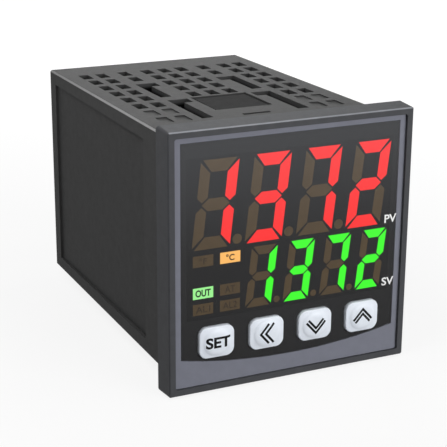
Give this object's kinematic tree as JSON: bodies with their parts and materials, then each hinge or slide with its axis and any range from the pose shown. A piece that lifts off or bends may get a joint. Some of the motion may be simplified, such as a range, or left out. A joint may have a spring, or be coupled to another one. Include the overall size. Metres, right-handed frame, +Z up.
{
  "type": "pid temperature controller",
  "caption": "Panel-mounted temperature controller with a square front, seven-segment displays, push keys, a vented case and rear screw terminals.",
  "frame": {"origin": "centre of the plane where the bezel meets the panel", "axes": "+X to the right seen from the front, +Y from the front to the terminals, +Z up"},
  "size_m": [0.048, 0.0687, 0.048],
  "materials": {
    "case_plastic": "fine satin texture",
    "bezel_plastic": "satin",
    "sheet_grey": "matt printed film",
    "smoked_window": "semi-gloss tinted film",
    "key_white": "translucent satin",
    "module_black": "matt",
    "segment_red": "glowing diffuser",
    "segment_green": "glowing diffuser",
    "segment_dark": "unlit diffuser",
    "lamp_orange": "glowing diffuser",
    "lamp_green": "glowing diffuser",
    "switch_black": "matt",
    "terminal_plastic": "matt",
    "zinc_plated": "bright plated",
    "tinned_brass": "tinned",
    "board_green": "solder mask",
    "relay_blue": "satin",
    "chip_black": "matt",
    "capacitor_sleeve": "shrink sleeve",
    "ferrite": "matt",
    "coil_tape": "polyester tape",
    "crystal_can": "satin"
  },
  "bodies": {
    "controller": {"case": "case_plastic", "bezel": "bezel_plastic", "face_sheet": "sheet_grey", "display_window": "smoked_window", "display_module": "module_black", "pv_segments_lit": "segment_red", "pv_segments_unlit": "segment_dark", "sv_segments_lit": "segment_green", "sv_segments_unlit": "segment_dark", "unit_lamp_lit": "lamp_orange", "output_lamp_lit": "lamp_green", "lamps_unlit": "segment_dark", "terminal_block_left": "terminal_plastic", "terminal_block_right": "terminal_plastic", "terminal_contacts": "tinned_brass", "terminal_clamps": "zinc_plated", "terminal_screws": "zinc_plated", "display_board": "board_green", "control_board": "board_green", "power_board": "board_green", "control_board_header": "chip_black", "power_board_header": "chip_black", "output_relay": "relay_blue", "alarm_relay_one": "relay_blue", "alarm_relay_two": "relay_blue", "input_capacitor": "capacitor_sleeve", "output_capacitor": "capacitor_sleeve", "transformer_core": "ferrite", "transformer_coil": "coil_tape", "controller_chip": "chip_black", "timing_crystal": "crystal_can", "bridge_rectifier": "chip_black", "display_driver_chip": "chip_black", "switch_body_set": "switch_black", "switch_body_shift": "switch_black", "switch_body_down": "switch_black", "switch_body_up": "switch_black"},
    "set_key": {"key_set": "key_white", "switch_button_set": "switch_black"},
    "shift_key": {"key_shift": "key_white", "switch_button_shift": "switch_black"},
    "down_key": {"key_down": "key_white", "switch_button_down": "switch_black"},
    "up_key": {"key_up": "key_white", "switch_button_up": "switch_black"}
  },
  "joints": [
    {"name": "set_key_press", "type": "slide", "parent": "controller", "child": "set_key", "axis": [0, 1, 0], "range_m": [0, 0.0004], "stiffness_N_per_m": 2500},
    {"name": "shift_key_press", "type": "slide", "parent": "controller", "child": "shift_key", "axis": [0, 1, 0], "range_m": [0, 0.0004], "stiffness_N_per_m": 2500},
    {"name": "down_key_press", "type": "slide", "parent": "controller", "child": "down_key", "axis": [0, 1, 0], "range_m": [0, 0.0004], "stiffness_N_per_m": 2500},
    {"name": "up_key_press", "type": "slide", "parent": "controller", "child": "up_key", "axis": [0, 1, 0], "range_m": [0, 0.0004], "stiffness_N_per_m": 2500}
  ]
}
